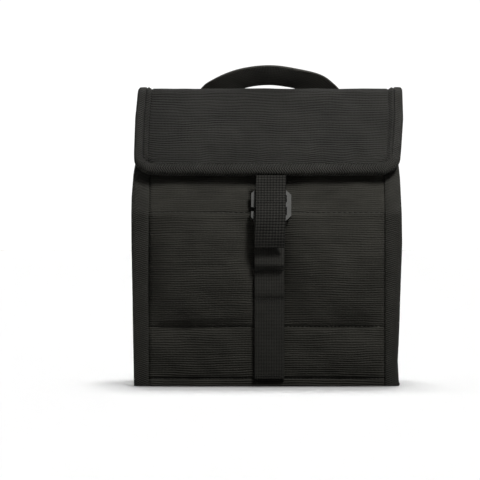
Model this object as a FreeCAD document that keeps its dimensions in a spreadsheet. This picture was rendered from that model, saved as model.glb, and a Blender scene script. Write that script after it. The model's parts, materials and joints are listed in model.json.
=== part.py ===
"""Insulated cooler bag with a folding top, a hooked front strap and a webbing handle.

Millimetres.  +Z is up and -Y is the front.  The origin is the centre of the footprint.
Every panel is a sandwich of cover, foam and lining.  The top is two leaning panels,
with folding side sheets, and the back one runs over the ridge as a flap.
"""
import FreeCAD, Part
import math
import os

os.makedirs("parts", exist_ok=True)
doc = FreeCAD.newDocument("cooler_bag")
V = FreeCAD.Vector

SIZES = [
    ("half_width", 99.0, "front and back panels, half"),
    ("inner_half", 95.0, "inside of the side walls, half"),
    ("inner_depth", 76.0, "inside of the front wall, half"),
    ("cover_t", 0.6, "outer fabric"),
    ("foam_t", 3.0, "foam"),
    ("lining_t", 0.4, "foil lining"),
    ("wall_t", 4.0, "whole wall"),
    ("crease", 142.0, "height at which the top starts to lean"),
    ("bound_half", 110.0, "half width over the bound seams"),
    ("seam_t", 3.0, "bound seam thickness"),
    ("roof_back", 3.0, "inside of the back top panel at the ridge"),
    ("roof_top", 242.0, "height of that line"),
    ("front_roof", 103.0, "front top panel, along its slope"),
    ("flap_slope", 40.0, "flap angle from upright, degrees"),
    ("flap_gap", 3.0, "flap above the front top panel"),
    ("fold_r", 8.0, "inner radius of the ridge fold"),
    ("flap_len", 89.0, "flap, down its slope"),
    ("flap_corner", 17.0, "rounded lower corner"),
    ("tape_w", 11.0, "binding tape on the flap"),
    ("tape_t", 5.0, "binding over the flap edge"),
    ("web_w", 25.0, "closure and handle webbing width"),
    ("web_t", 1.3, "webbing thickness"),
    ("strap_x", 3.5, "strap centre"),
    ("ladder_x", 2.0, "row of loops, centre"),
    ("loop_t", 1.2, "top loop, pulled thin over the hook"),
    ("tack_t", 1.0, "stitched bar, height"),
    ("hook_t", 3.0, "hook plate"),
    ("handle_t", 2.0, "handle webbing thickness"),
    ("gusset_t", 2.0, "folding side sheet"),
    ("rim_t", 4.6, "binding on the mouth rim"),
    ("rim_h", 6.0, "height of that binding"),
    ("inner_corner", 6.0, "rounded corner inside the flap binding"),
    ("tab_end", 114.0, "height of the strap's lower end"),
]

sheet = doc.addObject("Spreadsheet::Sheet", "sizes")
D = {}
for row, (alias, value, note) in enumerate(SIZES, start=1):
    sheet.set("A%d" % row, str(value))
    sheet.set("B%d" % row, note)
    sheet.setAlias("A%d" % row, alias)
    D[alias] = value
doc.recompute()

LEAN = math.degrees(math.atan2(D["inner_depth"] - D["roof_back"], D["roof_top"] - D["crease"]))


def lean_vectors(angle):
    """Up-slope and outward normal of a plane that leans back from the front, in (y, z)."""
    a = math.radians(angle)
    return (math.sin(a), math.cos(a)), (-math.cos(a), math.sin(a))


def fold_centre():
    """Centre of the ridge fold, at fold_r inside both the back panel and the flap."""
    up, out = lean_vectors(LEAN)
    reach = D["wall_t"]
    corner = (-D["inner_depth"] + up[0] * D["front_roof"] + out[0] * reach,
              D["crease"] + up[1] * D["front_roof"] + out[1] * reach)
    _, nf = lean_vectors(D["flap_slope"])
    nb = (math.cos(math.radians(LEAN)), math.sin(math.radians(LEAN)))
    rb = nb[0] * D["roof_back"] + nb[1] * D["roof_top"] - D["fold_r"]
    rf = nf[0] * corner[0] + nf[1] * corner[1] + D["flap_gap"] - D["fold_r"]
    det = nb[0] * nf[1] - nb[1] * nf[0]
    return (rb * nf[1] - nb[1] * rf) / det, (nb[0] * rf - rb * nf[0]) / det


FOLD_Y, FOLD_Z = fold_centre()
BACK_LEN = (-math.sin(math.radians(LEAN)) * (FOLD_Y - D["inner_depth"])
            + math.cos(math.radians(LEAN)) * (FOLD_Z - D["crease"]))
LAYERS = [("cover", "cover_t", 0.0), ("foam", "foam_t", D["cover_t"]),
          ("lining", "lining_t", D["cover_t"] + D["foam_t"])]


def frame(y, z, about_x=0.0, x=0.0, about_y=0.0):
    """Placement with its origin at (x, y, z), turned about X and then about Y."""
    turn = FreeCAD.Rotation(V(0, 1, 0), about_y).multiply(FreeCAD.Rotation(V(1, 0, 0), about_x))
    return FreeCAD.Placement(V(x, y, z), turn)


def block(label, low, size, place=None):
    """Box at a local low corner.  size entries are numbers or sheet expressions."""
    box = doc.addObject("Part::Box", label)
    box.Label = label
    for prop, value in zip(("Length", "Width", "Height"), size):
        if isinstance(value, str):
            box.setExpression(prop, value)
        else:
            setattr(box, prop, value)
    base = place or FreeCAD.Placement()
    box.Placement = base.multiply(FreeCAD.Placement(V(*low), FreeCAD.Rotation()))
    return box


def edges(path):
    """Closed outline.  An entry is (x, y), or (x, y, mx, my) for an arc through (mx, my)."""
    out = []
    last = V(path[-1][0], path[-1][1], 0)
    for point in path:
        here = V(point[0], point[1], 0)
        if len(point) == 4:
            out.append(Part.Arc(last, V(point[2], point[3], 0), here))
        else:
            out.append(Part.LineSegment(last, here))
        last = here
    return out


def pad(label, role, paths, length, place, sweep_back=False):
    """Body with one sketch on a named origin plane, padded by a sheet expression."""
    body = doc.addObject("PartDesign::Body", label)
    body.Label = label
    sketch = body.newObject("Sketcher::SketchObject", label + "_outline")
    plane = [f for f in body.Origin.OriginFeatures if f.Role == role][0]
    sketch.AttachmentSupport = [(plane, "")]
    sketch.MapMode = "FlatFace"
    for path in paths:
        sketch.addGeometry(edges(path), False)
    solid = body.newObject("PartDesign::Pad", label + "_pad")
    solid.Profile = sketch
    solid.setExpression("Length", length)
    solid.Reversed = sweep_back
    sketch.Visibility = False
    body.Placement = place
    return body


def band(points, thick):
    """Outline of a strip that follows points, with its thickness to the left of travel."""
    normals = []
    for a, b in zip(points, points[1:]):
        run = math.hypot(b[0] - a[0], b[1] - a[1])
        normals.append((-(b[1] - a[1]) / run, (b[0] - a[0]) / run))
    far = []
    for i, p in enumerate(points):
        n1 = normals[max(i - 1, 0)]
        n2 = normals[min(i, len(normals) - 1)]
        scale = thick / (1.0 + n1[0] * n2[0] + n1[1] * n2[1])
        far.append((p[0] + (n1[0] + n2[0]) * scale, p[1] + (n1[1] + n2[1]) * scale))
    return list(points) + far[::-1]


def strip(label, points, thick, x_low, width="sizes.web_w", place=None):
    """Webbing strip: a profile in Y and Z, swept along X from x_low."""
    base = place or FreeCAD.Placement()
    shift = FreeCAD.Placement(V(x_low, 0, 0), FreeCAD.Rotation())
    return pad(label, "YZ_Plane", [band(points, thick)], width, shift.multiply(base))


def upright_walls():
    """Front, back and side walls, each cover, foam and lining."""
    depth = D["inner_depth"]
    outer = depth + D["wall_t"]
    for name, thick, start in LAYERS:
        t = D[thick]
        block("front_" + name, (-D["half_width"], -outer + start, 0),
              ("2*sizes.half_width", "sizes." + thick, "sizes.crease"))
        block("back_" + name, (-D["half_width"], outer - start - t, 0),
              ("2*sizes.half_width", "sizes." + thick, "sizes.crease"))
        block("right_gusset_" + name, (D["half_width"] - start - t, -depth, 0),
              ("sizes." + thick, "2*sizes.inner_depth", "sizes.crease"))
        block("left_gusset_" + name, (-D["half_width"] + start, -depth, 0),
              ("sizes." + thick, "2*sizes.inner_depth", "sizes.crease"))
        block("base_" + name, (-D["inner_half"], -depth, start),
              ("2*sizes.inner_half", "2*sizes.inner_depth", "sizes." + thick))


def seam_binding(label, side):
    """Bound seam that runs down the front edge, under the base and up the back edge."""
    outer = D["inner_depth"] + D["wall_t"]
    inner = outer - D["seam_t"]
    top = D["crease"]
    floor = D["seam_t"]
    ring = [(-outer, top), (-outer, 0), (outer, 0), (outer, top), (inner, top),
            (inner, floor), (-inner, floor), (-inner, top)]
    low = D["half_width"] if side > 0 else -D["bound_half"]
    place = frame(0, 0, x=low)
    pad(label, "YZ_Plane", [ring], "sizes.bound_half - sizes.half_width", place)


def front_top():
    """Front top panel, hinged at the crease, with its rim and side bindings."""
    place = frame(-D["inner_depth"], D["crease"], -LEAN)
    for name, thick, start in LAYERS:
        block("front_top_" + name, (-D["half_width"], -D["wall_t"] + start, 0),
              ("2*sizes.half_width", "sizes." + thick, "sizes.front_roof - sizes.rim_h"), place)
    proud = (D["rim_t"] - D["wall_t"]) / 2
    block("mouth_binding", (-D["half_width"], -D["wall_t"] - proud, D["front_roof"] - D["rim_h"]),
          ("2*sizes.half_width", "sizes.rim_t", "sizes.rim_h"), place)
    for side, name in ((1, "right"), (-1, "left")):
        low = D["half_width"] if side > 0 else -D["bound_half"]
        block("front_top_%s_binding" % name, (low, -D["wall_t"], 0),
              ("sizes.bound_half - sizes.half_width", "sizes.seam_t", "sizes.front_roof"), place)


def back_top():
    """Back top panel up to the start of the ridge fold, with its side bindings."""
    place = frame(D["inner_depth"], D["crease"], LEAN)
    for name, thick, start in LAYERS:
        block("back_top_" + name, (-D["half_width"], D["wall_t"] - start - D[thick], 0),
              ("2*sizes.half_width", "sizes." + thick, BACK_LEN), place)
    for side, name in ((1, "right"), (-1, "left")):
        low = D["half_width"] if side > 0 else -D["bound_half"]
        block("back_top_%s_binding" % name, (low, D["wall_t"] - D["seam_t"], 0),
              ("sizes.bound_half - sizes.half_width", "sizes.seam_t", BACK_LEN), place)


def ridge_fold():
    """The cloth where it bends over the ridge: three layers of one arc."""
    start = math.radians(LEAN)
    stop = math.pi - math.radians(D["flap_slope"])
    middle = (start + stop) / 2
    radius = D["fold_r"] + D["wall_t"]
    for name, thick, offset in LAYERS:
        outer = radius - offset
        inner = outer - D[thick]

        def at(r, a):
            return FOLD_Y + r * math.cos(a), FOLD_Z + r * math.sin(a)
        path = [at(outer, start), at(outer, stop) + at(outer, middle),
                at(inner, stop), at(inner, start) + at(inner, middle)]
        place = frame(0, 0, x=-D["bound_half"])
        pad("ridge_" + name, "YZ_Plane", [path], "2*sizes.bound_half", place)


def rounded_panel(half, length, corner):
    """Flap outline: square at the fold, rounded at its two lower corners."""
    k = corner * (1 - math.sqrt(0.5))
    return [(half, 0), (half, -length + corner),
            (half - corner, -length, half - k, -length + k),
            (-half + corner, -length),
            (-half, -length + corner, -half + k, -length + k), (-half, 0)]


def flap_place(offset=0.0):
    """Flap frame: local -Y is out of the flap, local -Z is down its slope."""
    _, out = lean_vectors(D["flap_slope"])
    reach = D["fold_r"] - offset
    return frame(FOLD_Y + out[0] * reach, FOLD_Z + out[1] * reach, -D["flap_slope"])


def flap():
    """Flap layers inside one binding that runs down both sides and round the bottom."""
    half = D["half_width"]
    length = D["flap_len"] - D["tape_w"]
    bend = D["inner_corner"]
    inner = rounded_panel(half, length, bend)
    for name, thick, start in LAYERS:
        far = D["wall_t"] - start - D[thick]
        pad("flap_" + name, "XZ_Plane", [inner], "sizes." + thick, flap_place(-far))
    outer = rounded_panel(D["bound_half"], D["flap_len"], D["flap_corner"])
    k = bend * (1 - math.sqrt(0.5))
    low = -length
    ring = outer + [(-half, 0), (-half, low + bend),
                    (-half + bend, low, -half + k, low + k), (half - bend, low),
                    (half, low + bend, half - k, low + k), (half, 0)]
    proud = (D["tape_t"] - D["wall_t"]) / 2
    pad("flap_binding", "XZ_Plane", [ring], "sizes.tape_t", flap_place(proud))


STRAP_TOP = (-72.3, 174.6)
STRAP_BEND = (-90.5, 138.0)
STRAP_TILT = math.degrees(math.atan2(STRAP_TOP[0] - STRAP_BEND[0], STRAP_TOP[1] - STRAP_BEND[1]))


def strap():
    """Closure strap in front of the hook, its tab folded double, and the hook keeper."""
    x_low = D["strap_x"] - D["web_w"] / 2
    run = [STRAP_TOP, STRAP_BEND, (STRAP_BEND[0], D["tab_end"])]
    double = 2 * D["web_t"]
    path = band(run, -D["web_t"])
    path = [run[0], run[1], run[2], (run[2][0] - double, run[2][1]),
            (run[1][0] - double, run[1][1]), path[4], path[5]]
    shift = frame(0, 0, x=x_low)
    pad("closure_strap", "YZ_Plane", [path], "sizes.web_w", shift)
    keeper = [(0.0, 34.5), (7.0, 29.4), (7.0, 22.8), (0.0, 19.6)]
    place = hook_place().multiply(FreeCAD.Placement(V(x_low, 0, 0), FreeCAD.Rotation()))
    outline = band(keeper, 1.2)
    pad("hook_keeper", "YZ_Plane", [outline], "sizes.web_w", place)


def hook_place():
    """Hook frame on the back face of the strap: local Y is in, local Z is up the strap."""
    return frame(STRAP_BEND[0], STRAP_BEND[1], -STRAP_TILT)


def hook():
    """Flat metal hook: a closed ring above, and an open finger slot below."""
    left, right = -12.9, 20.2
    c = 4.5
    s = 3.2
    top, floor = 28.6, 0.0
    bar = 3.6
    lip = 8.8
    tip = 2.2
    ring = 12.7
    slot_l = left + bar
    slot_r = right - bar
    outline = [(left, lip), (left, s), (left + s, floor), (right - c, floor), (right, c),
               (right, top - c), (right - c, top), (left + s, top), (left, top - s),
               (left, ring), (slot_r, ring), (slot_r, 5.0), (left + tip, 5.0),
               (left + tip, lip)]
    hole = [(slot_l, 17.1), (slot_r, 17.1), (slot_r, 23.7), (slot_l, 23.7)]
    stand = 2.8 + D["hook_t"]
    place = hook_place().multiply(FreeCAD.Placement(V(0, stand, 0), FreeCAD.Rotation()))
    pad("strap_hook", "XZ_Plane", [outline, hole], "sizes.hook_t", place)


def strap_anchor():
    """Sewn end of the strap under the flap, turned round the flap edge."""
    edge = -D["flap_len"]
    x_low = D["strap_x"] - D["web_w"] / 2
    path = [(0.5, edge + 35.0), (0.5, edge - 0.2), (-4.3, edge - 0.2)]
    strip("strap_anchor", path, D["web_t"], x_low, place=flap_place())


def ladder():
    """Backing webbing on the front wall, and a second one tacked over it as loops."""
    face = -(D["inner_depth"] + D["wall_t"])
    x_low = D["ladder_x"] - D["web_w"] / 2
    block("ladder_backing", (x_low, face - D["web_t"], 2.0),
          ("sizes.web_w", "sizes.web_t", 144.3))
    skin = face - D["web_t"]
    low = [(skin, 2.4), (skin, 72.0)]
    for start in (72.0, 96.0):
        for step, out in ((3.5, 1.9), (7.0, 3.0), (10.5, 3.4), (14.0, 3.0), (17.5, 1.9), (21.0, 0.0)):
            low.append((skin - out, start + step))
        low.append((skin, min(start + 24.0, 117.8)))
    strip("ladder_loops", low, D["web_t"], x_low)
    loop = [(skin, 119.4), (-86.6, 124.0), (-88.5, 131.0), (-88.3, 137.8), (-86.1, 141.7),
            (-83.7, 142.9), (skin, 143.7), (skin, 146.2)]
    strip("ladder_top_loop", loop, D["loop_t"], x_low)
    bars = []
    for z, cover in ((5.5, D["web_t"]), (70.6, D["web_t"]), (94.5, D["web_t"]), (145.4, D["loop_t"])):
        corner = V(x_low + 1.5, skin - cover - 0.5, z - D["tack_t"] / 2)
        bars.append(Part.makeBox(D["web_w"] - 3.0, 0.5, D["tack_t"], corner))
    stitch = doc.addObject("Part::Feature", "ladder_bartacks")
    stitch.Label = "ladder_bartacks"
    stitch.Shape = bars[0].multiFuse(bars[1:])


def handle():
    """Webbing arch behind the back top panel, and its two sewn ends on that panel."""
    foot = 75.0
    leg = 66.0
    crown = 133.2
    big = 84.0
    small = 33.6
    turn = math.radians(40.0)

    def arc_points(inset):
        r1, r2 = big - inset, small - inset
        mid = crown - big
        cx = (big - small) * math.sin(turn)
        cz = mid + (big - small) * math.cos(turn)
        joint = (r1 * math.sin(turn), mid + r1 * math.cos(turn))
        half = (turn + math.pi / 2) / 2
        bend = (cx + r2 * math.sin(half), cz + r2 * math.cos(half))
        side = (cx + r2, cz)
        return joint, bend, side, mid + r1

    lo = foot + 1.5
    outer, bend_o, side_o, top_o = arc_points(0.0)
    inner, bend_i, side_i, top_i = arc_points(D["handle_t"])
    path = [(side_o[0], lo), side_o, outer + bend_o,
            (-outer[0], outer[1], 0.0, top_o),
            (-side_o[0], side_o[1], -bend_o[0], bend_o[1]), (-side_o[0], lo),
            (-side_i[0], lo), (-side_i[0], side_i[1]),
            (-inner[0], inner[1], -bend_i[0], bend_i[1]),
            (inner[0], inner[1], 0.0, top_i), side_i + bend_i, (side_i[0], lo)]
    near = D["wall_t"] + 1.0
    back = frame(D["inner_depth"], D["crease"], LEAN)
    place = back.multiply(FreeCAD.Placement(V(3.0, near, 0), FreeCAD.Rotation()))
    pad("handle_webbing", "XZ_Plane", [path], "sizes.web_w", place, sweep_back=True)
    ends = None
    tacks = None
    width = D["web_w"]
    for side in (-1, 1):
        x_mid = 3.0 + side * (leg - D["handle_t"] / 2)
        one = Part.makeBox(width, D["web_t"], 28.0, V(x_mid - width / 2, D["wall_t"], foot - 28.0))
        ends = one if ends is None else ends.fuse(one)
        for low in (4.0, 22.0):
            bar = Part.makeBox(width - 4.0, 0.5, 1.2,
                               V(x_mid - width / 2 + 2.0, D["wall_t"] + D["web_t"], foot - 28.0 + low))
            tacks = bar if tacks is None else tacks.fuse(bar)
    for label, shape in (("handle_ends", ends), ("handle_bartacks", tacks)):
        item = doc.addObject("Part::Feature", label)
        item.Label = label
        item.Shape = shape
        item.Placement = back


def gusset_top(label, side):
    """Main triangle of a folded side, hinged on the crease at the inside of the wall."""
    outline = [(-65.0, 0.4), (65.0, 0.4), (0.0, 106.0)]
    place = frame(0, D["crease"], 0.0, x=side * D["inner_half"], about_y=-side * LEAN)
    pad(label, "YZ_Plane", [outline], "sizes.gusset_t", place, sweep_back=side < 0)


def wing(label, side, front):
    """Corner of a folded side, which lies under a top panel and turns on its side edge."""
    top = 100.0 if front else 108.0
    reach = 0.614 * top - 12.0
    outline = [(0.0, 19.5), (0.0, top), (-side * reach, top)]
    if front:
        base = frame(-D["inner_depth"], D["crease"], -LEAN, x=side * D["inner_half"])
        shift = D["gusset_t"] + 0.5
    else:
        base = frame(D["inner_depth"], D["crease"], LEAN, x=side * D["inner_half"])
        shift = -0.5
    place = base.multiply(FreeCAD.Placement(V(0, shift, 0), FreeCAD.Rotation()))
    pad(label, "XZ_Plane", [outline], "sizes.gusset_t", place)


upright_walls()
seam_binding("right_seam_binding", 1)
seam_binding("left_seam_binding", -1)
front_top()
back_top()
ridge_fold()
flap()
strap_anchor()
strap()
hook()
ladder()
handle()
gusset_top("right_gusset_top", 1)
gusset_top("left_gusset_top", -1)
wing("wing_front_right", 1, True)
wing("wing_front_left", -1, True)
wing("wing_back_right", 1, False)
wing("wing_back_left", -1, False)
doc.recompute()

KINDS = ("Part::Box", "PartDesign::Body", "Part::Feature")
for item in doc.Objects:
    if "Invalid" in item.State or "Error" in item.State:
        raise RuntimeError("broken object " + item.Label)
for item in doc.Objects:
    if item.TypeId not in KINDS:
        continue
    if item.Shape.isNull() or not item.Shape.isValid() or item.Shape.Volume <= 0:
        raise RuntimeError("bad shape " + item.Label)
    item.Shape.exportStep(os.path.join("parts", item.Label + ".step"))
    box = item.Shape.BoundBox
    print(item.Label, round(box.XMin, 1), round(box.XMax, 1), round(box.YMin, 1),
          round(box.YMax, 1), round(box.ZMin, 1), round(box.ZMax, 1), round(item.Shape.Volume))
print("fold", FOLD_Y, FOLD_Z, "lean", LEAN, "back", BACK_LEN)
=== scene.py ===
"""Looks of the insulated cooler bag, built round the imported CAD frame.  Metres throughout."""
import json
import math

import bmesh
import bpy
import numpy as np
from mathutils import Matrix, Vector, noise


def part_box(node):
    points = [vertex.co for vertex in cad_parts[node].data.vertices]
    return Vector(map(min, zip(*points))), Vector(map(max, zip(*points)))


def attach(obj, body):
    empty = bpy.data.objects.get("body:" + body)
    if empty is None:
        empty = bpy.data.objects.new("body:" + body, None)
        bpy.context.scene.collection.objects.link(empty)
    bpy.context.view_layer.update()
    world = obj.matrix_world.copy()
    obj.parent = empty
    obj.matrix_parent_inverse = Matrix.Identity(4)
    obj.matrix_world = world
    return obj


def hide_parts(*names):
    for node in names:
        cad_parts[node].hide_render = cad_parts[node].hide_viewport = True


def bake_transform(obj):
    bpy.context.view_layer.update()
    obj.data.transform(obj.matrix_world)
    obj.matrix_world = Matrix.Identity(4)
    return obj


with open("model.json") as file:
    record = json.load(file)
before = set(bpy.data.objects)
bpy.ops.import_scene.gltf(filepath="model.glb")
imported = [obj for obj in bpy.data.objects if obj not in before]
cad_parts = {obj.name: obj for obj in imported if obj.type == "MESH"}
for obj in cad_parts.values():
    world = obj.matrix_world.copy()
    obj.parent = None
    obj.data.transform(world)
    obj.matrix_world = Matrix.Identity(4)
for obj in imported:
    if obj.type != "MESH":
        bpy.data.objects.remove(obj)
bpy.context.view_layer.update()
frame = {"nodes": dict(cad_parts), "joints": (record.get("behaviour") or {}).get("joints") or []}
JOINT = {j["name"]: j for j in frame["joints"]}

# ------ driving sizes
CREASE = JOINT["front_top_open"]["pos_m"][2]
INNER_Y = -JOINT["front_top_open"]["pos_m"][1]
WALL = 0.004
SKIN = 0.0036
OUTER_Y = INNER_Y + WALL
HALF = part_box("front_cover")[1][0]
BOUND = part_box("flap_binding")[1][0]
LEAN = math.radians(36.129)
FLAP_SLOPE = math.radians(40.0)
FOLD_R = 0.012
FRONT_ROOF = 0.103
BACK_ROOF = 0.12408
FLAP_LEN = 0.089
STRAP_X = sum(corner[0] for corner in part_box("closure_strap")) / 2
LADDER_X = sum(corner[0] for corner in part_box("ladder_loops")) / 2
WEB = 0.025
LINING_HALF = 0.0946
ROOF_LINING = 0.0912
FLAP_LINING = 0.1015
SIDE_WORDS = (("left", -1), ("right", 1))


# ------ flat-to-bent profiles
class Profile:
    """Side view of cloth: straight runs and bends, followed by arc length d, with height h outwards."""

    def __init__(self, y, side, runs):
        self.side = side
        self.parts = []
        here = np.array([y, 0.0])
        heading = math.pi / 2
        start = 0.0
        for kind, size, turn in runs:
            if kind == "line":
                length = size
            else:
                length = size * turn
            self.parts.append((kind, start, length, here.copy(), heading, size))
            way = np.array([math.cos(heading), math.sin(heading)])
            if kind == "line":
                here = here + way * length
            else:
                here = self._arc(here, heading, size, turn, 0.0)
                heading += side * turn
            start += length
        self.length = start

    def _normal(self, heading):
        return np.array([math.cos(heading - self.side * math.pi / 2),
                         math.sin(heading - self.side * math.pi / 2)])

    def _arc(self, here, heading, radius, turn, h):
        out = self._normal(heading)
        centre = here - out * radius
        new = self._normal(heading + self.side * turn)
        return centre + new * (radius + h)

    def at(self, d, h=0.0):
        """(y, z) at arc length d and height h."""
        chosen = self.parts[0]
        for part in self.parts:
            if d >= part[1] - 1e-9:
                chosen = part
        kind, start, length, here, heading, size = chosen
        t = d - start
        if kind == "line":
            way = np.array([math.cos(heading), math.sin(heading)])
            return here + way * t + self._normal(heading) * h
        return self._arc(here, heading, size, t / size, h)

    def point(self, x, d, h=0.0):
        y, z = self.at(d, h)
        return Vector((x, y, z))


FRONT = Profile(-OUTER_Y, -1, [("line", CREASE, 0), ("arc", WALL, LEAN), ("line", FRONT_ROOF, 0)])
BACK = Profile(OUTER_Y, 1, [("line", CREASE, 0), ("arc", WALL, LEAN), ("line", BACK_ROOF, 0),
                            ("arc", FOLD_R, math.pi - LEAN - FLAP_SLOPE), ("line", FLAP_LEN, 0)])
ROOF_D = CREASE + WALL * LEAN
RIDGE_D = ROOF_D + BACK_ROOF
FLAP_D = RIDGE_D + FOLD_R * (math.pi - LEAN - FLAP_SLOPE)
FLAP_END = FLAP_D + FLAP_LEN
SPLIT_D = ROOF_D + 0.040
FRONT_END = FRONT.length - 0.006
FINE = 0.0022
COARSE = 0.003


# ------ node helpers
class Nodes:
    """Short way to build a material's node tree."""

    def __init__(self, name):
        self.mat = bpy.data.materials.new(name)
        self.mat.use_nodes = True
        self.tree = self.mat.node_tree
        self.tree.nodes.clear()
        self.out = self.add("ShaderNodeOutputMaterial")
        self.bsdf = self.add("ShaderNodeBsdfPrincipled")
        self.link(self.bsdf.outputs[0], self.out.inputs[0])

    def add(self, kind, **props):
        node = self.tree.nodes.new(kind)
        for key, value in props.items():
            setattr(node, key, value)
        return node

    def link(self, a, b):
        self.tree.links.new(a, b)

    def math(self, op, a, b=None, c=None):
        node = self.add("ShaderNodeMath", operation=op)
        for i, value in enumerate((a, b, c)):
            if value is None:
                continue
            if isinstance(value, (int, float)):
                node.inputs[i].default_value = value
            else:
                self.link(value, node.inputs[i])
        return node.outputs[0]

    def noise(self, vector, scale, detail=3.0, rough=0.5):
        node = self.add("ShaderNodeTexNoise")
        node.inputs["Scale"].default_value = scale
        node.inputs["Detail"].default_value = detail
        node.inputs["Roughness"].default_value = rough
        self.link(vector, node.inputs["Vector"])
        return node.outputs["Fac"]

    def uv(self, sx=1.0, sy=1.0):
        coord = self.add("ShaderNodeTexCoord")
        mapping = self.add("ShaderNodeMapping")
        mapping.inputs["Scale"].default_value = (sx, sy, 1.0)
        self.link(coord.outputs["UV"], mapping.inputs["Vector"])
        return mapping.outputs[0]

    def xyz(self):
        coord = self.add("ShaderNodeTexCoord")
        return coord.outputs["Object"]

    def split(self, vector):
        node = self.add("ShaderNodeSeparateXYZ")
        self.link(vector, node.inputs[0])
        return node.outputs

    def mix(self, fac, dark, light):
        node = self.add("ShaderNodeMix", data_type="RGBA")
        self.link(fac, node.inputs[0])
        node.inputs[6].default_value = (*dark, 1.0)
        node.inputs[7].default_value = (*light, 1.0)
        return node.outputs[2]

    def bump(self, height, distance, strength=1.0):
        node = self.add("ShaderNodeBump")
        node.inputs["Distance"].default_value = distance
        node.inputs["Strength"].default_value = strength
        self.link(height, node.inputs["Height"])
        self.link(node.outputs[0], self.bsdf.inputs["Normal"])

    def finish(self, rough, sheen=0.0, specular=0.5, metallic=0.0):
        self.bsdf.inputs["Roughness"].default_value = rough
        self.bsdf.inputs["Sheen Weight"].default_value = sheen
        self.bsdf.inputs["Sheen Roughness"].default_value = 0.45
        self.bsdf.inputs["Specular IOR Level"].default_value = specular
        self.bsdf.inputs["Metallic"].default_value = metallic
        return self.mat


def ribs(nodes, coordinate, pitch, wobble, amount):
    """Rounded ribs across a coordinate, shifted by a wobble signal.  0 in the groove, 1 on the crest."""
    shifted = nodes.math("MULTIPLY_ADD", wobble, amount, coordinate)
    angle = nodes.math("MULTIPLY", shifted, 2 * math.pi / pitch)
    wave = nodes.math("SINE", angle)
    return nodes.math("MULTIPLY_ADD", wave, 0.5, 0.5)


def ribbed_cloth(name, dark, light, pitch=0.0019, contrast=0.36, depth=0.00032):
    """Slubby horizontal ribs with fine warp threads and slow tone changes; the ribs also darken the colour in
    each groove, which is painted shade.
    """
    n = Nodes(name)
    u, v, _ = n.split(n.uv())
    slub = n.noise(n.uv(70.0, 300.0), 1.0, 2.0)
    drift = n.noise(n.uv(16.0, 30.0), 1.0, 1.0)
    wobble = n.math("MULTIPLY_ADD", drift, 5.0, slub)
    wobble = n.math("SUBTRACT", wobble, 3.0)
    rib = ribs(n, v, pitch, wobble, pitch * 0.5)
    warp = ribs(n, u, pitch * 0.62, wobble, pitch * 0.4)
    grain = n.noise(n.uv(900.0, 900.0), 1.0, 2.0)
    weave = n.math("MULTIPLY_ADD", warp, 0.28, rib)
    weave = n.math("MULTIPLY_ADD", grain, 0.35, weave)
    tone = n.noise(n.uv(26.0, 40.0), 1.0, 3.0)
    streak = n.noise(n.uv(14.0, 300.0), 1.0, 3.0)
    # painted shade: the rib wave darkens the colour in the grooves, on top of the bump's relief
    mixed = n.math("MULTIPLY_ADD", rib, contrast, n.math("MULTIPLY", tone, 0.62))
    mixed = n.math("MULTIPLY_ADD", streak, 0.42, mixed)
    mixed = n.math("MULTIPLY_ADD", warp, 0.16, mixed)
    mixed = n.math("MULTIPLY_ADD", grain, 0.30, mixed)
    mixed = n.math("SUBTRACT", mixed, 0.23 + contrast / 2)
    n.link(n.mix(mixed, dark, light), n.bsdf.inputs["Base Color"])
    n.bump(weave, depth, 1.0)
    return n.finish(0.86, sheen=0.01, specular=0.06)


def webbing_cloth(name, dark, light, column_pitch=0.0021, weft_pitch=0.00115, contrast=0.42):
    """Flat webbing: fine weft lines across it and columns of warp along it."""
    n = Nodes(name)
    u, v, _ = n.split(n.uv())
    grain = n.noise(n.uv(500.0, 700.0), 1.0, 2.0)
    wobble = n.math("SUBTRACT", grain, 0.5)
    column = ribs(n, u, column_pitch, wobble, 0.0004)
    weft = ribs(n, v, weft_pitch, wobble, 0.0004)
    weave = n.math("MULTIPLY_ADD", column, 0.7, weft)
    tone = n.noise(n.uv(40.0, 60.0), 1.0, 2.0)
    mixed = n.math("MULTIPLY_ADD", weave, contrast, n.math("MULTIPLY", tone, 0.5))
    mixed = n.math("SUBTRACT", mixed, 0.85 * contrast - 0.217)
    n.link(n.mix(mixed, dark, light), n.bsdf.inputs["Base Color"])
    n.bump(weave, 0.00022, 0.9)
    return n.finish(0.80, sheen=0.01, specular=0.07)


def herringbone_tape(name, dark, light, pitch, depth):
    """Binding tape: chevron ribs.  u runs along the tape and v across it."""
    n = Nodes(name)
    u, v, _ = n.split(n.uv())
    grain = n.noise(n.uv(600.0, 600.0), 1.0, 2.0)
    wobble = n.math("SUBTRACT", grain, 0.5)
    zigzag = n.math("PINGPONG", v, 0.0046)
    lean = n.math("MULTIPLY_ADD", zigzag, 0.55, u)
    rib = ribs(n, lean, pitch, wobble, pitch * 0.27)
    tone = n.noise(n.uv(70.0, 90.0), 1.0, 2.0)
    mixed = n.math("MULTIPLY_ADD", rib, 0.8, n.math("MULTIPLY", tone, 0.5))
    mixed = n.math("SUBTRACT", mixed, 0.15)
    n.link(n.mix(mixed, dark, light), n.bsdf.inputs["Base Color"])
    n.bump(rib, depth, 1.0)
    return n.finish(0.80, sheen=0.01, specular=0.07)


def foil(name):
    """Heat-sealed grey film with fine crumples."""
    n = Nodes(name)
    at = n.xyz()
    crumple = n.noise(at, 90.0, 4.0, 0.6)
    fine = n.noise(at, 420.0, 3.0, 0.5)
    both = n.math("MULTIPLY_ADD", fine, 0.3, crumple)
    n.link(n.mix(crumple, (0.46, 0.47, 0.48), (0.66, 0.67, 0.68)), n.bsdf.inputs["Base Color"])
    n.bump(both, 0.0016, 0.8)
    return n.finish(0.36, specular=0.6, metallic=0.55)


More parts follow.
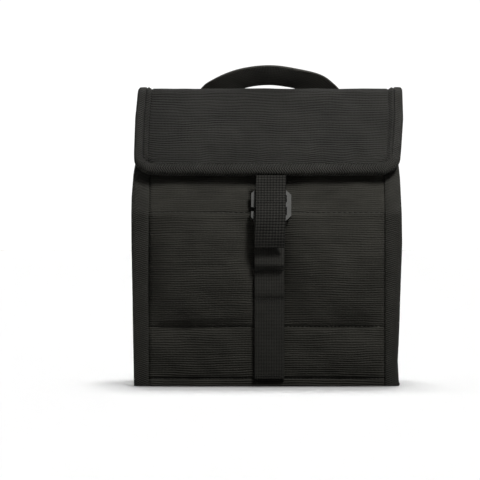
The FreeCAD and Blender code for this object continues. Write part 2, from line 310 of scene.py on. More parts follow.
def gunmetal(name):
    """Cast, tumbled metal: dull, with a faint grain and brighter worn patches."""
    n = Nodes(name)
    at = n.xyz()
    wear = n.noise(at, 160.0, 4.0, 0.6)
    grain = n.noise(at, 2600.0, 2.0, 0.5)
    n.link(n.mix(wear, (0.018, 0.018, 0.017), (0.040, 0.040, 0.038)), n.bsdf.inputs["Base Color"])
    rough = n.math("MULTIPLY_ADD", wear, 0.2, 0.40)
    n.bump(grain, 0.00004, 0.6)
    mat = n.finish(0.5, specular=0.35, metallic=0.7)
    n.link(rough, n.bsdf.inputs["Roughness"])
    return mat


def thread(name, colour):
    """Sewing thread with a twisted ply."""
    n = Nodes(name)
    at = n.xyz()
    ply = n.noise(at, 2200.0, 2.0, 0.5)
    dark = tuple(c * 0.7 for c in colour)
    n.link(n.mix(ply, dark, colour), n.bsdf.inputs["Base Color"])
    n.bump(ply, 0.0001, 0.6)
    return n.finish(0.7, sheen=0.01, specular=0.15)


CLOTH = ribbed_cloth("cover_cloth", (0.0016, 0.0015, 0.0009), (0.0255, 0.0246, 0.0209))
# darker copy of the cover cloth for the flap and back top, with deeper painted shade in its rib grooves
# standing in for the grazing light there
FLAP_CLOTH_PAINTED_SHADE = ribbed_cloth("flap_cloth", (0.0006, 0.0006, 0.0004), (0.0172, 0.0168, 0.0149),
                          contrast=0.9, depth=0.0005)
SIDE_CLOTH = ribbed_cloth("side_cloth", (0.0016, 0.0015, 0.0009), (0.0225, 0.0217, 0.0183), pitch=0.0017)
# lighter copy of the webbing for the handle: painted light that brightens the shaded underside of the arch
HANDLE_WEBBING_PAINTED_LIGHT = webbing_cloth("handle_webbing", (0.0070, 0.0068, 0.0056), (0.0420, 0.0410, 0.0360))
WEBBING = webbing_cloth("webbing", (0.0022, 0.0021, 0.0015), (0.0200, 0.0195, 0.0172))
STRAP_WEBBING = webbing_cloth("strap_webbing", (0.0010, 0.0010, 0.0007), (0.0152, 0.0147, 0.0129),
                              column_pitch=0.0025, weft_pitch=0.0024, contrast=0.85)
TAPE = herringbone_tape("binding_tape", (0.0034, 0.0033, 0.0024), (0.0212, 0.0206, 0.0180),
                        pitch=0.0016, depth=0.0003)
FLAP_TAPE = herringbone_tape("flap_tape", (0.0008, 0.0008, 0.0005), (0.0200, 0.0194, 0.0170),
                             pitch=0.0021, depth=0.0006)
FOIL = foil("lining_foil")
METAL = gunmetal("hook_metal")
THREAD = thread("thread", (0.0060, 0.0058, 0.0050))
ROW_THREAD = thread("row_thread", (0.026, 0.025, 0.022))
# paler copy of the thread for the right half of the low row: painted light where the light from the right
# falls
THREAD_PAINTED_LIGHT = thread("pale_thread", (0.055, 0.053, 0.045))


# ------ mesh helpers
SHARP_ANGLE = math.radians(50)
ROUND_EDGE = 0.35
ACROSS = Vector((1, 0, 0))


def make(name, verts, faces, uvs, material, slot):
    """Mesh object with one UV per vertex, shaded smooth except over sharp edges."""
    mesh = bpy.data.meshes.new(name)
    mesh.from_pydata([tuple(v) for v in verts], [], faces)
    mesh.validate()
    layer = mesh.uv_layers.new(name="UVMap")
    for loop in mesh.loops:
        layer.data[loop.index].uv = uvs[loop.vertex_index]
    for poly in mesh.polygons:
        poly.use_smooth = True
    mesh.set_sharp_from_angle(angle=SHARP_ANGLE)
    mesh.materials.append(material)
    obj = bpy.data.objects.new(name, mesh)
    bpy.context.scene.collection.objects.link(obj)
    return obj


def slab(name, nu, nv, outer, inner, uv, material, slot):
    """Closed slab between two grids: outer(i, j) and inner(i, j) give points, uv(i, j) the weave."""
    verts, uvs, faces = [], [], []
    cols = nv + 1
    for face in (outer, inner):
        for i in range(nu + 1):
            for j in range(nv + 1):
                verts.append(face(i, j))
                uvs.append(uv(i, j))
    half = (nu + 1) * cols
    for i in range(nu):
        for j in range(nv):
            a, b, c, d = i * cols + j, (i + 1) * cols + j, (i + 1) * cols + j + 1, i * cols + j + 1
            faces.append((a, b, c, d))
            faces.append((half + a, half + d, half + c, half + b))
    for i in range(nu):
        a, b = i * cols, (i + 1) * cols
        faces.append((a, half + a, half + b, b))
        a, b = a + nv, b + nv
        faces.append((a, b, half + b, half + a))
    for j in range(nv):
        a, b = j, j + 1
        faces.append((a, b, half + b, half + a))
        a, b = nu * cols + j, nu * cols + j + 1
        faces.append((a, half + a, half + b, b))
    obj = make(name, verts, faces, uvs, material, slot)
    fix_normals(obj)
    return obj


def fix_normals(obj):
    """Turn all faces outwards."""
    bm = bmesh.new()
    bm.from_mesh(obj.data)
    bmesh.ops.recalc_face_normals(bm, faces=bm.faces)
    bm.to_mesh(obj.data)
    bm.free()


def cloth_panel(name, profile, xs, ds, h_out, h_in, material, slot, spread=lambda x, d: x):
    """Slab on a profile over the given x and d values; h_out and h_in are heights at (x, d)."""
    def at(i, j, height):
        return profile.point(spread(xs[i], ds[j]), ds[j], height(xs[i], ds[j]))

    return slab(name, len(xs) - 1, len(ds) - 1, lambda i, j: at(i, j, h_out), lambda i, j: at(i, j, h_in),
                lambda i, j: (xs[i], ds[j]), material, slot)


def tube(name, rings, uvs, material, slot):
    """Closed tube through rings of points, with one UV per point."""
    count = len(rings[0])
    verts = [p for ring in rings for p in ring]
    faces = []
    for i in range(len(rings) - 1):
        for k in range(count):
            a, b = i * count + k, i * count + (k + 1) % count
            faces.append((a, b, b + count, a + count))
    faces.append(tuple(range(count))[::-1])
    faces.append(tuple((len(rings) - 1) * count + k for k in range(count)))
    obj = make(name, verts, faces, uvs, material, slot)
    fix_normals(obj)
    return obj


def sweep(name, path, uvs_across, material, slot):
    """Tube through a list of (arc length, ring of points), its weave running along it."""
    uvs = [(along, across) for along, _ in path for across in uvs_across]
    return tube(name, [ring for _, ring in path], uvs, material, slot)


def ribbon(name, centre, thick, width, material, across=None):
    """Webbing along centre points, lying across x unless a list of across directions is given."""
    across = across or [ACROSS] * len(centre)
    half = width / 2
    edge = thick * ROUND_EDGE
    marks = [(-half, 0.0), (-half + edge, 1.0), (-half * 0.5, 1.0), (0.0, 1.0), (half * 0.5, 1.0),
             (half - edge, 1.0), (half, 0.0), (half - edge, -1.0), (half * 0.5, -1.0), (0.0, -1.0),
             (-half * 0.5, -1.0), (-half + edge, -1.0)]
    rings, uvs = [], []
    along = 0.0
    last = len(centre) - 1
    for i, here in enumerate(centre):
        if i:
            along += (here - centre[i - 1]).length
        ahead = centre[min(i + 1, last)] - centre[max(i - 1, 0)]
        side = across[i].normalized()
        up = side.cross(ahead).normalized()
        rings.append([here + side * w + up * (h * thick / 2) for w, h in marks])
        uvs += [(w, along) for w, _ in marks]
    return tube(name, rings, uvs, material, "webbing")


def smooth_path(points, steps):
    """Catmull-Rom curve through points."""
    out = []
    pts = [points[0] * 2 - points[1]] + list(points) + [points[-1] * 2 - points[-2]]
    for i in range(1, len(pts) - 2):
        a, b, c, d = pts[i - 1], pts[i], pts[i + 1], pts[i + 2]
        for s in range(steps):
            t = s / steps
            out.append(0.5 * ((2 * b) + (c - a) * t + (2 * a - 5 * b + 4 * c - d) * t * t
                              + (3 * b - a - 3 * c + d) * t ** 3))
    out.append(points[-1])
    return out


def stitch_row(name, points, normals, material, body, length=0.0023, gap=0.0011, radius=0.00032):
    """Stitches as small grains laid end to end along a line of points."""
    lengths = [0.0]
    for a, b in zip(points, points[1:]):
        lengths.append(lengths[-1] + (b - a).length)
    verts, faces = [], []
    at = gap / 2

    def place(t):
        k = int(np.searchsorted(lengths, t)) - 1
        k = max(0, min(k, len(points) - 2))
        f = (t - lengths[k]) / max(lengths[k + 1] - lengths[k], 1e-9)
        return points[k].lerp(points[k + 1], f), normals[k].lerp(normals[k + 1], f).normalized()

    while at + length < lengths[-1]:
        p0, n0 = place(at)
        p1, n1 = place(at + length)
        way = (p1 - p0).normalized()
        side = way.cross(n0).normalized()
        ends = (p0 - n0 * radius * 0.6, p1 - n1 * radius * 0.6)
        base = len(verts)
        verts.append(ends[0])
        for f in (0.2, 0.8):
            c = p0.lerp(p1, f)
            for q in range(6):
                a = q * math.pi / 3
                verts.append(c + side * math.cos(a) * radius + n0 * math.sin(a) * radius)
        verts.append(ends[1])
        for q in range(6):
            r = (q + 1) % 6
            faces.append((base, base + 1 + r, base + 1 + q))
            faces.append((base + 1 + q, base + 1 + r, base + 7 + r, base + 7 + q))
            faces.append((base + 13, base + 7 + q, base + 7 + r))
        at += length + gap
    uvs = [(v.x, v.z) for v in verts]
    obj = make(name, verts, faces, uvs, material, "thread")
    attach(obj, body)
    return obj


def crown(t, power=2.5):
    """1 in the middle of 0..1, falling to 0 at both ends."""
    t = min(max(t, 0.0), 1.0)
    return 1.0 - abs(2 * t - 1) ** power


def belly(t):
    """Sagging swell over 0..1: fullest a little below half way, where it is 1."""
    t = min(max(t, 0.0), 1.0)
    return t ** 0.9 * (1.0 - t) / 0.2686


def ripple(x, y, z=0.0):
    """Smooth noise, about -1 to 1."""
    return noise.noise(Vector((x, y, z)))


def groove(d, row, depth=0.0007, width=0.0009):
    """Dip along a row of stitches."""
    return -depth * math.exp(-((d - row) / width) ** 2)


# ------ front
ROW_TOP = 0.1437
ROW_LOW = 0.049
ROW_BASE = 0.0062
SEAM_X = HALF - 0.0012
LADDER_LEFT = LADDER_X - WEB / 2
LADDER_RIGHT = LADDER_X + WEB / 2


def front_height(x, d):
    """Padded lobes each side of the webbing, held down at the seams and stitch rows."""
    if x < LADDER_LEFT:
        t = (x + SEAM_X) / (LADDER_LEFT + SEAM_X)
        swell = 1.0
    elif x > LADDER_RIGHT:
        t = (x - LADDER_RIGHT) / (SEAM_X - LADDER_RIGHT)
        swell = 0.9
    else:
        t = 0.0
        swell = 0.0
    across = crown(t, 3.4)
    if d < ROW_BASE:
        cell, amount = 0.0, 0.0
    elif d < ROW_LOW:
        cell = belly((d - ROW_BASE) / (ROW_LOW - ROW_BASE))
        amount = 0.0022
    elif d < ROW_TOP:
        cell = belly((d - ROW_LOW) / (ROW_TOP - ROW_LOW))
        amount = 0.0096
    else:
        cell = crown((d - ROW_TOP) / 0.12, 2.4)
        amount = 0.0022
    h = swell * amount * across * cell
    h += across * 0.0016 * ripple(x * 30, d * 26, 3.0)
    h += across * 0.0009 * ripple(x * 62, d * 50, 7.0)
    h += across * 0.00035 * ripple(x * 130, d * 260, 8.0)
    if x < LADDER_LEFT:
        line = ROW_LOW + 0.004 + (x + HALF) * 0.06
        h += 0.0009 * math.exp(-((d - line) / 0.0022) ** 2) * crown((x + HALF) / 0.085, 2.0)
    h += across * 0.0009 * math.exp(-((d - ROW_TOP + 0.0030) / 0.0018) ** 2)
    for row in (ROW_TOP, ROW_LOW, ROW_BASE):
        h += groove(d, row)
    h -= 0.0011 * math.exp(-((abs(x) - SEAM_X) / 0.0012) ** 2)
    return max(h, -0.0016)


def grid(low, high, step, extra=()):
    """Values from low to high about step apart, with extra ones packed round given places."""
    count = max(int(round((high - low) / step)), 1)
    values = set(round(low + (high - low) * i / count, 6) for i in range(count + 1))
    for centre in extra:
        for k in (-2, -1, -0.5, 0, 0.5, 1, 2):
            value = round(centre + k * 0.0008, 6)
            if low < value < high:
                values.add(value)
    return sorted(values)


def lining_sheet(name, profile, low, high, seed, spread):
    """Foil lining under a panel, with a faintly crumpled inner face."""
    return cloth_panel(name, profile, grid(-LINING_HALF, LINING_HALF, 0.006), grid(low, high, 0.004),
                       lambda x, d: -SKIN, lambda x, d: -WALL - 0.0004 * abs(ripple(x * 50, d * 50, seed)),
                       FOIL, "lining_foil", spread)


def roof_inset(x, d):
    """Pulls a lining's sides in where it lies under a roof panel."""
    lean = min(max((d - CREASE) / 0.006, 0.0), 1.0)
    return x * (1 + lean * (ROOF_LINING / LINING_HALF - 1))


def front_cloth():
    """Front wall and front top panel in one padded piece, and their lining."""
    xs = grid(-HALF, HALF, FINE, (-SEAM_X, SEAM_X, LADDER_LEFT, LADDER_RIGHT))
    ds = grid(0.0, FRONT_END, FINE, (ROW_TOP, ROW_LOW, ROW_BASE))
    body = cloth_panel("front_panel", FRONT, xs, ds, front_height, lambda x, d: -SKIN, CLOTH, "cover_cloth")
    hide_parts("front_cover", "front_foam", "front_top_cover", "front_top_foam")
    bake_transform(body)
    inner = lining_sheet("front_lining_sheet", FRONT, WALL, FRONT_END, 0.0, roof_inset)
    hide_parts("front_lining", "front_top_lining")
    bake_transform(inner)


front_cloth()


# ------ back, ridge and flap
WELT_IN = HALF - 0.0003
WELT = 0.1012
TAPE_LAP = 0.0045
TAPE_SIDE = 0.0072
TAPE_LOW = 0.0096
TAPE_START = RIDGE_D - 0.004
FLAP_CORNER = 0.017
CORNER_STEPS = 12
PUCKER_X = 0.0975
PUCKER_D = FLAP_END - 0.0125


def flap_flare(side, d):
    """How far the flap's side edge stands out from BOUND at d."""
    t = np.clip((d - RIDGE_D) / (FLAP_END - RIDGE_D), 0, 1)
    left = np.interp(t, (0, 0.45, 0.8, 1.0), (-0.0016, 0.0009, 0.0010, 0.0002))
    right = np.interp(t, (0, 0.45, 0.75, 1.0), (0.0050, 0.0049, 0.0025, -0.0001))
    return float(left if side < 0 else right)


def flap_height(x, d):
    """Soft flap: a slow swell, small ripples above the tape, and a welt along each side."""
    t = (d - FLAP_D) / FLAP_LEN
    on = min(max((d - RIDGE_D) / 0.02, 0.0), 1.0)
    across = crown((x + HALF) / (2 * HALF), 6.0)
    h = on * across * 0.0012 * crown(min(max(t, 0), 1), 2.0)
    h += on * across * 0.0010 * ripple(x * 34, d * 22, 1.0)
    h += on * across * 0.0004 * ripple(x * 90, d * 70, 2.0)
    near_tape = math.exp(-((d - (FLAP_END - 0.016)) / 0.016) ** 2)
    h += near_tape * 0.0018 * ripple(x * 75, d * 14, 5.0) * across * (1.3 if x > 0 else 0.7)
    ax = abs(x)
    corner = Vector((ax - PUCKER_X, d - PUCKER_D))
    h += 0.0009 * math.cos(9 * math.atan2(corner.y, corner.x)) * math.exp(-(corner.length / 0.0075) ** 2)
    h += 0.0011 * math.exp(-((ax - WELT) / 0.0013) ** 2)
    h -= 0.0008 * math.exp(-((ax - WELT_IN + 0.0004) / 0.0007) ** 2)
    return h


def back_height(x, d):
    """Nearly flat padded back with a slight swell."""
    across = crown((x + HALF) / (2 * HALF), 4.0)
    h = 0.0022 * across * crown(min(d / CREASE, 1.0), 2.5)
    h += across * 0.0006 * ripple(x * 38, d * 50, 9.0)
    for row in (ROW_BASE, ROW_TOP):
        h += groove(d, row)
    h -= 0.0010 * math.exp(-((abs(x) - SEAM_X) / 0.0012) ** 2)
    return h


RIDGE_START = Vector((0, *BACK.at(RIDGE_D)))
RIDGE_END = Vector((0, *BACK.at(FLAP_D)))


def back_cloth():
    """Back wall, and the back top panel, ridge and flap above it, with their linings."""
    xs = grid(-HALF, HALF, COARSE, (-SEAM_X, SEAM_X))
    ds = grid(0.0, SPLIT_D, COARSE, (ROW_BASE, ROW_TOP))
    lower = cloth_panel("back_panel", BACK, xs, ds, back_height, lambda x, d: -SKIN, CLOTH, "cover_cloth")
    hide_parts("back_cover", "back_foam")
    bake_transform(lower)
    lining = lining_sheet("back_lining_sheet", BACK, WALL, SPLIT_D, 2.0, roof_inset)
    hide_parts("back_lining")
    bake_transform(lining)
    half = BOUND - TAPE_LAP
    xs = grid(-half, half, FINE, (-WELT_IN, WELT_IN, -WELT, WELT))
    ds = grid(SPLIT_D, FLAP_END - 0.005, FINE)

    def upper_height(x, d):
        if d < RIDGE_D:
            mix = (d - SPLIT_D) / (RIDGE_D - SPLIT_D)
            return back_height(x, d) * (1 - mix) + flap_height(x, d) * mix
        return flap_height(x, d)

    def to_edge(x, d):
        side = -1 if x < 0 else 1
        return x * (BOUND + flap_flare(side, d) - TAPE_LAP) / half

    # the flap and back top use the darker cloth copy with deeper painted rib shade
    upper = cloth_panel("flap_panel", BACK, xs, ds, upper_height, lambda x, d: -SKIN, FLAP_CLOTH_PAINTED_SHADE,
                        "cover_cloth", to_edge)
    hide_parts("back_top_cover", "back_top_foam", "flap_cover", "flap_foam", "ridge_cover",
                "ridge_foam")
    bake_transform(upper)

    def lining_width(x, d):
        wide = min(max((d - RIDGE_D) / 0.015, 0.0), 1.0)
        return x * (ROOF_LINING + wide * (FLAP_LINING - ROOF_LINING)) / LINING_HALF

    sheet = lining_sheet("flap_lining_sheet", BACK, SPLIT_D, FLAP_END - 0.006, 4.0, lining_width)
    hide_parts("back_top_lining", "flap_lining", "ridge_lining")
    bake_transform(sheet)


back_cloth()


TAPE_ACROSS = (0.0, 0.0005, 0.003, 0.006, 0.0085, 0.010, 0.0125, 0.0145, 0.018, 0.021, 0.0215)


def tape_section(width, top, thick):
    """Closed section of tape folded over an edge: (distance in from the edge, height)."""
    low = -thick
    return [(width, top * 0.35), (width - 0.0005, top), (width * 0.6, top * 1.15), (width * 0.28, top * 1.05),
            (0.0010, top * 0.6), (0.0, -0.0008), (0.0, low + 0.0008), (0.0010, low - top * 0.5),
            (width * 0.5, low - top), (width - 0.0005, low - top * 0.8), (width, low)]


def flap_stations():
    """Stops round the flap's edge: side, place along the run, and angle round the corner."""
    straight = FLAP_END - FLAP_CORNER
    down = [TAPE_START + (straight - TAPE_START) * k / 34 for k in range(35)]
    turn = [math.pi / 2 * k / CORNER_STEPS for k in range(1, CORNER_STEPS + 1)]
    left = [(-1, d, 0.0) for d in down] + [(-1, straight, angle) for angle in turn]
    reach = BOUND - FLAP_CORNER
    bottom = [(0, -reach + 2 * reach * k / 90, math.pi / 2) for k in range(1, 90)]
    right = [(1, d, angle) for _, d, angle in reversed(left)]
    return left + bottom + right


def flap_binding():
    """Tape round the flap: down one side, round the rounded corners and along the bottom edge."""
    rings = []
    along = 0.0
    last = None
    for side, place, angle in flap_stations():
        share = math.sin(angle) if side else 1.0
        width = TAPE_SIDE + (TAPE_LOW - TAPE_SIDE) * share
        if side:
            edge_x = side * (BOUND - FLAP_CORNER + FLAP_CORNER * math.cos(angle))
            edge_d = place + FLAP_CORNER * math.sin(angle)
            edge_x += side * flap_flare(side, edge_d) * math.cos(angle)
            inward = (-side * math.cos(angle), -math.sin(angle))
        else:
            edge_x, edge_d = place, FLAP_END
            inward = (0.0, -1.0)
        sag = 0.0012 * math.sin((edge_x + BOUND) / (2 * BOUND) * math.pi) if angle > 0 else 0.0
        edge_d += sag * share + 0.0004 * ripple(edge_x * 60, edge_d * 60, 2.0)
        here = Vector((edge_x, edge_d, 0))
        if last is not None:
            along += (here - last).length
        last = here
        ring = []
        for w, h in tape_section(width, 0.0012, WALL):
            lift = 0.0003 * ripple(along * 90, w * 200, 6.0)
            ring.append(BACK.point(edge_x + inward[0] * w, edge_d + inward[1] * w, h + lift))
        rings.append((along, ring))
    obj = sweep("flap_tape", rings, TAPE_ACROSS, FLAP_TAPE, "binding_tape")
    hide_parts("flap_binding")
    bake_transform(obj)


flap_binding()


# ------ bound seams
FIN_ROOT = HALF - 0.0008
FIN_THICK = 0.003


def fin_flare(side, z):
    """How far a seam's free edge stands out from BOUND at height z."""
    left = np.interp(z, (0, 0.03, 0.075, 0.12, 0.16, 0.185, 0.205, 0.24),
                     (0.0, 0.0006, 0.0014, 0.0022, 0.0024, 0.0014, -0.0010, -0.0022))
    right = np.interp(z, (0, 0.02, 0.045, 0.08, 0.118, 0.145, 0.18, 0.205, 0.24),
                      (-0.0004, -0.0015, -0.0003, 0.0008, 0.0022, 0.0018, 0.0012, -0.0004, -0.0014))
    return float(left if side < 0 else right)


def back_flare(side, d):
    """Slight wave of the back seams' free edges."""
    return 0.0008 * crown(d / SPLIT_D, 2.0) + 0.0004 * ripple(d * 30, side)


def ridge_flare(side, d):
    """The back seams close in on the flap's edge towards the ridge."""
    return (flap_flare(side, RIDGE_D) - 0.0012) * (d - SPLIT_D) / (RIDGE_D - SPLIT_D)


def seam_fin(name, profile, side, d0, d1, bodies, nodes, flare):
    """Bound seam that stands out sideways from a panel edge, with tape folded over it."""
    rings = []
    count = int((d1 - d0) / 0.003)
    for k in range(count + 1):
        d = d0 + (d1 - d0) * k / count
        edge = BOUND + flare(side, d)
        width = edge - FIN_ROOT
        wave = 0.0006 * ripple(d * 40, side * 3.0, 1.0)
        ring = []
        for w, h in tape_section(width, 0.0006, FIN_THICK):
            lift = wave * (1 - w / width) + 0.0002 * ripple(d * 120, w * 300, side)
            ring.append(profile.point(side * (edge - w), d, h + lift))
        rings.append((d, ring))
    obj = sweep(name, rings, TAPE_ACROSS, TAPE, "binding_tape")
    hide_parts(*nodes)
    if len(bodies) == 1:
        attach(obj, bodies[0])
    else:
        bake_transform(obj)


for word, side in SIDE_WORDS:
    seam_fin("front_seam_" + word, FRONT, side, 0.0, FRONT.length, ("shell", "front_top"),
             (word + "_seam_binding", "front_top_%s_binding" % word), fin_flare)
    seam_fin("back_seam_" + word, BACK, side, 0.0, SPLIT_D, ("shell", "back_top"), (), back_flare)
    seam_fin("ridge_seam_" + word, BACK, side, SPLIT_D, TAPE_START, ("back_top",),
             ("back_top_%s_binding" % word,), ridge_flare)


def base_seam(word, side):
    """The same seam under the base, from front to back."""
    rings = []
    count = 40
    low, high = -OUTER_Y + 0.0005, OUTER_Y - 0.0005
    for k in range(count + 1):
        y = low + (high - low) * k / count
        section = tape_section(BOUND - FIN_ROOT, 0.0003, FIN_THICK)
        ring = [Vector((side * (BOUND - w), y, max(FIN_THICK + h * 0.9, 0.0))) for w, h in section]
        rings.append((y, ring))
    obj = sweep("base_seam_" + word, rings, TAPE_ACROSS, TAPE, "binding_tape")
    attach(obj, "shell")


for word, side in SIDE_WORDS:
    base_seam(word, side)


# ------ sides
TRIANGLE = math.hypot(INNER_Y, 0.0998)
TRIANGLE_X = 0.097
GUSSET_THICK = 0.0012


def side_panels(word, side):
    """Side wall that runs on into the folding triangle, with its lining."""
    body = word + "_gusset_top"

    def wall_point(y, d, h):
        if d <= CREASE:
            return Vector((side * (HALF + h), y, d))
        t = d - CREASE
        lean_x = side * (TRIANGLE_X + h * 0.3 - math.sin(LEAN) * t)
        return Vector((lean_x, y, CREASE + 0.001 + math.cos(LEAN) * t))

    rows = grid(0.0, CREASE, COARSE) + [CREASE + t for t in grid(0.002, 0.121, COARSE)]
    count = 40

    def half_width(d):
        if d <= CREASE:
            return INNER_Y + 0.0005
        return max(INNER_Y * (1 - (d - CREASE) / TRIANGLE) + 0.0008, 0.0005)

    def bulge(y, d):
        across = crown((y + INNER_Y) / (2 * INNER_Y), 3.0)
        h = 0.0035 * across * crown(min(d / CREASE, 1.0), 2.5)
        h += across * 0.0007 * ripple(y * 40, d * 50, 11.0 + side)
        h += groove(d, ROW_BASE)
        if d > CREASE:
            h = 0.0006 * ripple(y * 50, d * 50, 13.0)
        return h

    def weave(i, j):
        return half_width(rows[j]) * (2 * i / count - 1), rows[j]

    def outer(i, j):
        y, d = weave(i, j)
        return wall_point(y, d, bulge(y, d))

    def inner(i, j):
        y, d = weave(i, j)
        if d <= CREASE:
            return wall_point(y, d, -SKIN)
        return wall_point(y, d, 0.0) - Vector((side * math.cos(LEAN), 0, math.sin(LEAN))) * GUSSET_THICK

    obj = slab("side_panel_" + word, count, len(rows) - 1, outer, inner, weave, SIDE_CLOTH, "gusset_cloth")
    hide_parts(word + "_gusset_cover", word + "_gusset_foam", body)
    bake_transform(obj)

    def lining_out(i, j):
        return inner(i, j) - Vector((side * 0.0001, 0, 0))

    def lining_in(i, j):
        return inner(i, j) - Vector((side * 0.0005, 0, 0.0003 if rows[j] > CREASE else 0.0))

    lining = slab("side_lining_" + word, count, len(rows) - 1, lining_out, lining_in,
                  lambda i, j: (i * 0.004, rows[j]), FOIL, "lining_foil")
    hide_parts(word + "_gusset_lining")
    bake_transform(lining)


for word, side in SIDE_WORDS:
    side_panels(word, side)


WING_SLOPE = 0.614
WING_LAYERS = (("cloth", 0.0062, 0.0074, 0.0, SIDE_CLOTH, "gusset_cloth"),
               ("foil", 0.0050, 0.0060, 0.0034, FOIL, "lining_foil"))


def wing_sheet(word, side, front):
    """One folding corner: lies under a top panel when shut, and fills the side when open."""
    place = "front" if front else "back"
    node = "wing_%s_%s" % (place, word)
    profile = FRONT if front else BACK
    top = (FRONT_ROOF if front else BACK_ROOF) - 0.004
    count = 16
    rows = grid(0.004, top, 0.004)

    def at(i, j, depth, inset):
        reach = max(WING_SLOPE * rows[j] + 0.0006, 0.0036)
        u = inset + (reach - inset) * i / count
        return profile.point(side * (LINING_HALF - u), ROOF_D + rows[j], -depth)

    for kind, high, low, inset, material, slot_name in WING_LAYERS:
        obj = slab("corner_%s_%s_%s" % (place, word, kind), count, len(rows) - 1,
                   lambda i, j: at(i, j, high, inset), lambda i, j: at(i, j, low, inset),
                   lambda i, j: (i * 0.003, rows[j]), material, slot_name)
        if kind == "cloth":
            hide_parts(node)
        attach(obj, node)


for word, side in SIDE_WORDS:
    for front in (True, False):
        wing_sheet(word, side, front)


HEM_IN = 0.0918
HEM_OUT = 0.0943
HEM_DEPTH = 0.0058


def roof_hem(name, side, profile, body, end):
    """Tape under a top panel's side edge, which covers the edge of the folding corner's lining."""
    ds = grid(ROOF_D + 0.002, end, 0.004)

    def at(i, j, depth):
        return profile.point(side * (HEM_IN + (HEM_OUT - HEM_IN) * i), ds[j], -depth)

    obj = slab(name, 1, len(ds) - 1, lambda i, j: at(i, j, SKIN - 0.0002), lambda i, j: at(i, j, HEM_DEPTH),
               lambda i, j: (ds[j], i * (HEM_OUT - HEM_IN)), TAPE, "binding_tape")
    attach(obj, body)


for word, side in SIDE_WORDS:
    roof_hem("front_hem_" + word, side, FRONT, "front_top", FRONT.length - 0.0065)
    roof_hem("back_hem_" + word, side, BACK, "back_top", TAPE_START)


# ------ base
def base_panels():
    """Padded base and the foil floor over it."""
    xs = grid(-HALF, HALF, 0.006)
    ys = grid(-OUTER_Y + 0.0005, OUTER_Y - 0.0005, 0.006)

    def dip(x, y):
        edge = crown((x + HALF) / (2 * HALF), 8.0) * crown((y + OUTER_Y) / (2 * OUTER_Y), 8.0)
        return 0.0004 * edge * (1 + ripple(x * 40, y * 40))

    def crumple(x, y):
        return WALL + 0.0005 * (1 + ripple(x * 45, y * 45))

    size = (len(xs) - 1, len(ys) - 1)
    under = slab("base_panel", *size, lambda i, j: Vector((xs[i], ys[j], dip(xs[i], ys[j]))),
                 lambda i, j: Vector((xs[i], ys[j], SKIN)), lambda i, j: (xs[i], ys[j]),
                 SIDE_CLOTH, "cover_cloth")
    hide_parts("base_cover", "base_foam")
    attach(under, "shell")
    floor = slab("base_lining_sheet", *size, lambda i, j: Vector((xs[i] * 0.96, ys[j] * 0.955, SKIN)),
                 lambda i, j: Vector((xs[i] * 0.96, ys[j] * 0.955, crumple(xs[i], ys[j]))),
                 lambda i, j: (xs[i], ys[j]), FOIL, "lining_foil")
    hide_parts("base_lining")
    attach(floor, "shell")


base_panels()


# ------ mouth rim
def mouth_rim():
    """Tape folded over the free edge of the front top panel."""
    rings = []
    count = 70
    for k in range(count + 1):
        x = -HALF + 2 * HALF * k / count
        ring = []
        for w, h in tape_section(0.0095, 0.0005, WALL):
            ring.append(FRONT.point(x, FRONT.length - w + 0.0003 * ripple(x * 60, 0.5), h))
        rings.append((x, ring))
    obj = sweep("mouth_tape", rings, TAPE_ACROSS, TAPE, "binding_tape")
    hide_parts("mouth_binding")
    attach(obj, "front_top")


mouth_rim()


# ------ closure strap
def strap():
    """Strap from the flap edge, over the hook, to its doubled tab."""
    x = STRAP_X
    low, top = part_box("closure_strap")
    pts = [Vector((x, top[1] - 0.0010, top[2] - 0.0010)), Vector((x - 0.0001, -0.0780, 0.1632)),
           Vector((x - 0.0002, -0.0850, 0.1503)), Vector((x - 0.0003, -0.0902, 0.1405)),
           Vector((x - 0.0006, -0.0917, 0.1340)), Vector((x - 0.0011, -0.0918, 0.1250)),
           Vector((x - 0.0013, -0.0912, 0.1195)), Vector((x - 0.0014, -0.0900, low[2] + 0.0006))]
    line = smooth_path(pts, 8)
    obj = ribbon("strap_web", line, 0.0014, WEB, STRAP_WEBBING)
    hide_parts("closure_strap")
    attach(obj, "strap")
    fold = [Vector((p.x, p.y + 0.0013, p.z)) for p in line[-30:]]
    back = ribbon("strap_tab", fold, 0.0012, WEB - 0.0006, STRAP_WEBBING)
    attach(back, "strap")
    hinge = JOINT["hook_tilt"]["pos_m"]
    keep = []
    for k in range(17):
        a = math.radians(200 - 220 * k / 16)
        keep.append(Vector((x, hinge[1] + 0.00405 * math.cos(a) + 0.0004, hinge[2] + 0.0045 * math.sin(a))))
    keeper = ribbon("keeper_web", keep, 0.0011, WEB - 0.001, WEBBING)
    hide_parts("hook_keeper")
    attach(keeper, "strap")
    anchor = [BACK.point(x, FLAP_END - 0.034 + 0.034 * k / 10, -WALL - 0.0012) for k in range(11)]
    anchor.append(BACK.point(x, FLAP_END + 0.0010, -0.0046))
    sewn = ribbon("strap_anchor_web", anchor, 0.0013, WEB, WEBBING)
    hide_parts("strap_anchor")
    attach(sewn, "flap")
    lean = (line[12] - line[10]).normalized()
    face = Vector((0, lean.z, -lean.y))
    for k, z in enumerate((0.1512, 0.1530)):
        spot = min(line, key=lambda p: abs(p.z - z)) + face * 0.0008
        ends = [spot - ACROSS * (WEB / 2 - 0.001), spot + ACROSS * (WEB / 2 - 0.001)]
        stitch_row("strap_row_%d" % k, ends, [face, face], THREAD, "strap", 0.0015, 0.0007, 0.0003)


strap()
hook = frame["nodes"]["strap_hook"]
hook.data.materials.clear()
hook.data.materials.append(METAL)
soften = hook.modifiers.new("soft_edges", "BEVEL")
soften.width = 0.0012
soften.segments = 3
soften.limit_method = "ANGLE"
soften.angle_limit = math.radians(25)
soften.harden_normals = False


